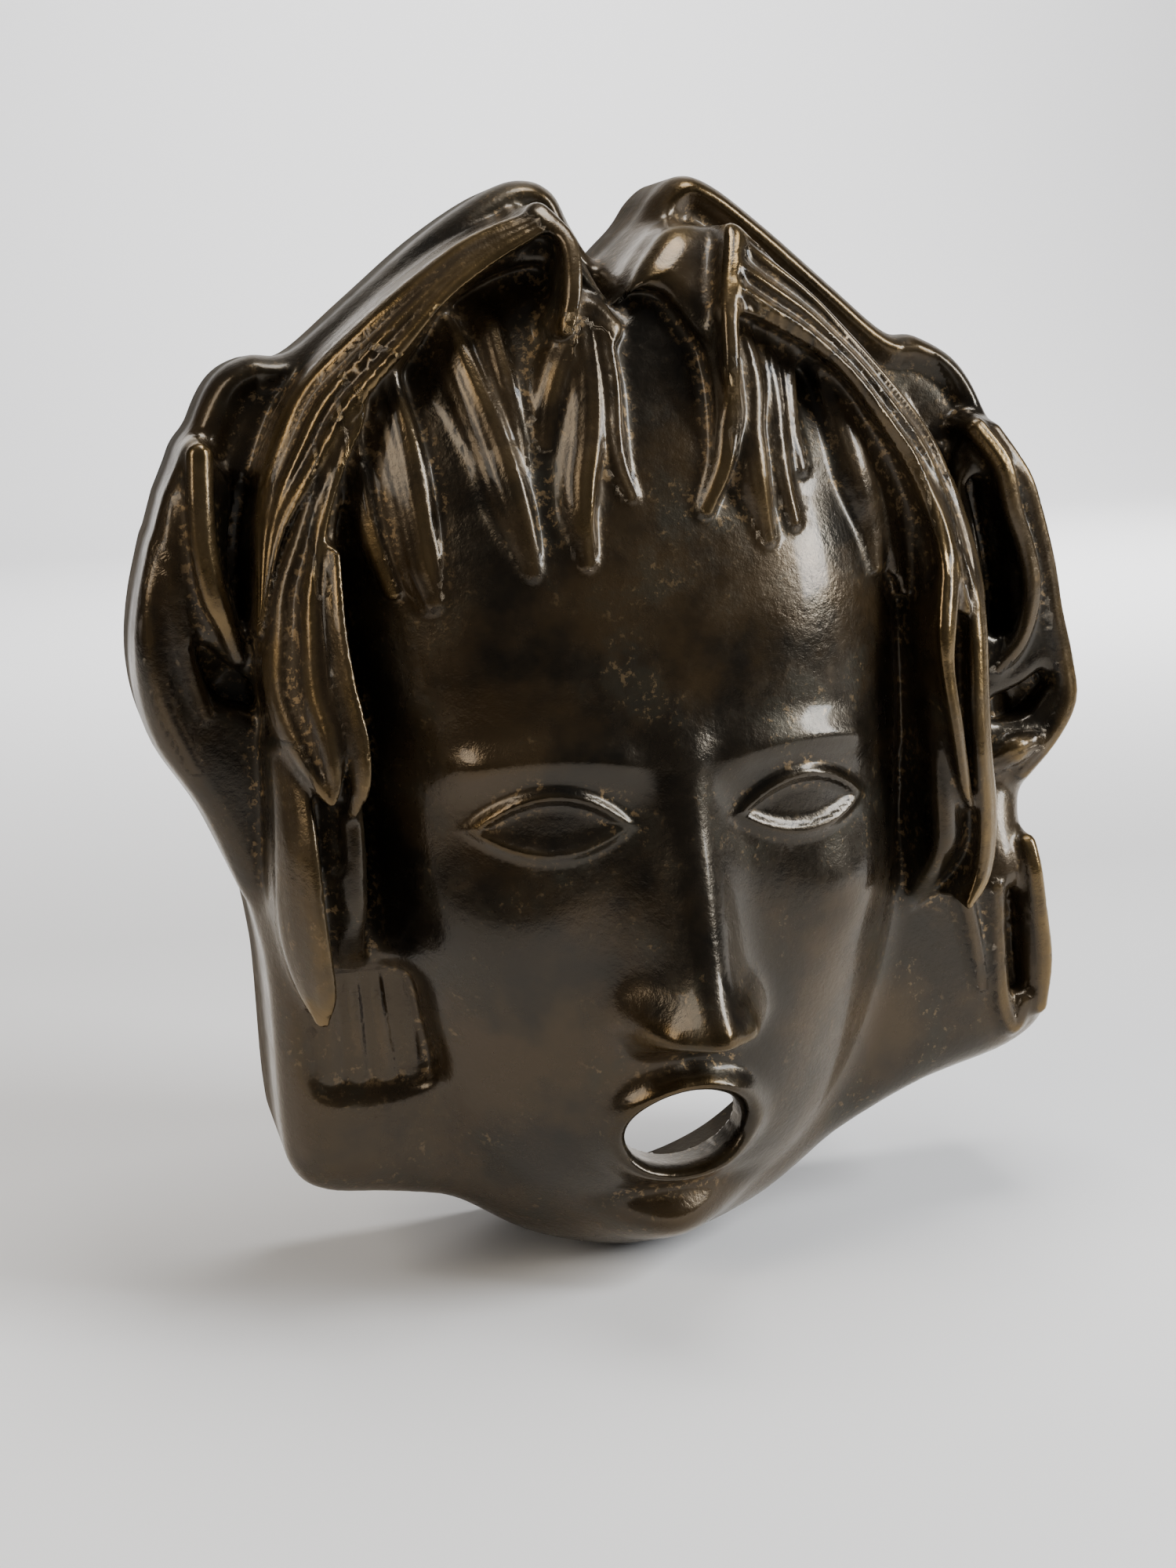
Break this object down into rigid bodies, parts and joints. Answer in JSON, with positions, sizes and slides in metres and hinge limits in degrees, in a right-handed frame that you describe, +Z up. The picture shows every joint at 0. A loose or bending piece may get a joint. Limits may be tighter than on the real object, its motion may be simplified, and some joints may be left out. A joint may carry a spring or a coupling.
{
  "type": "bronze fountain mask",
  "caption": "Hollow cast bronze head with heavy parted hair and an open mouth for a water spout, made to be fixed to a wall.",
  "frame": {"origin": "top middle of the flat back rim, on the metal under the notch in the hair, in the plane of the wall", "axes": "+Z up, the face looks along -Y, +Y into the wall, +X to the viewer's right"},
  "size_m": [0.319, 0.1369, 0.3549],
  "materials": {
    "bronze": "waxed dark brown patinated bronze, rubbed golden on the crests"
  },
  "bodies": {
    "root": {"fountain_mask": "bronze"}
  },
  "joints": []
}
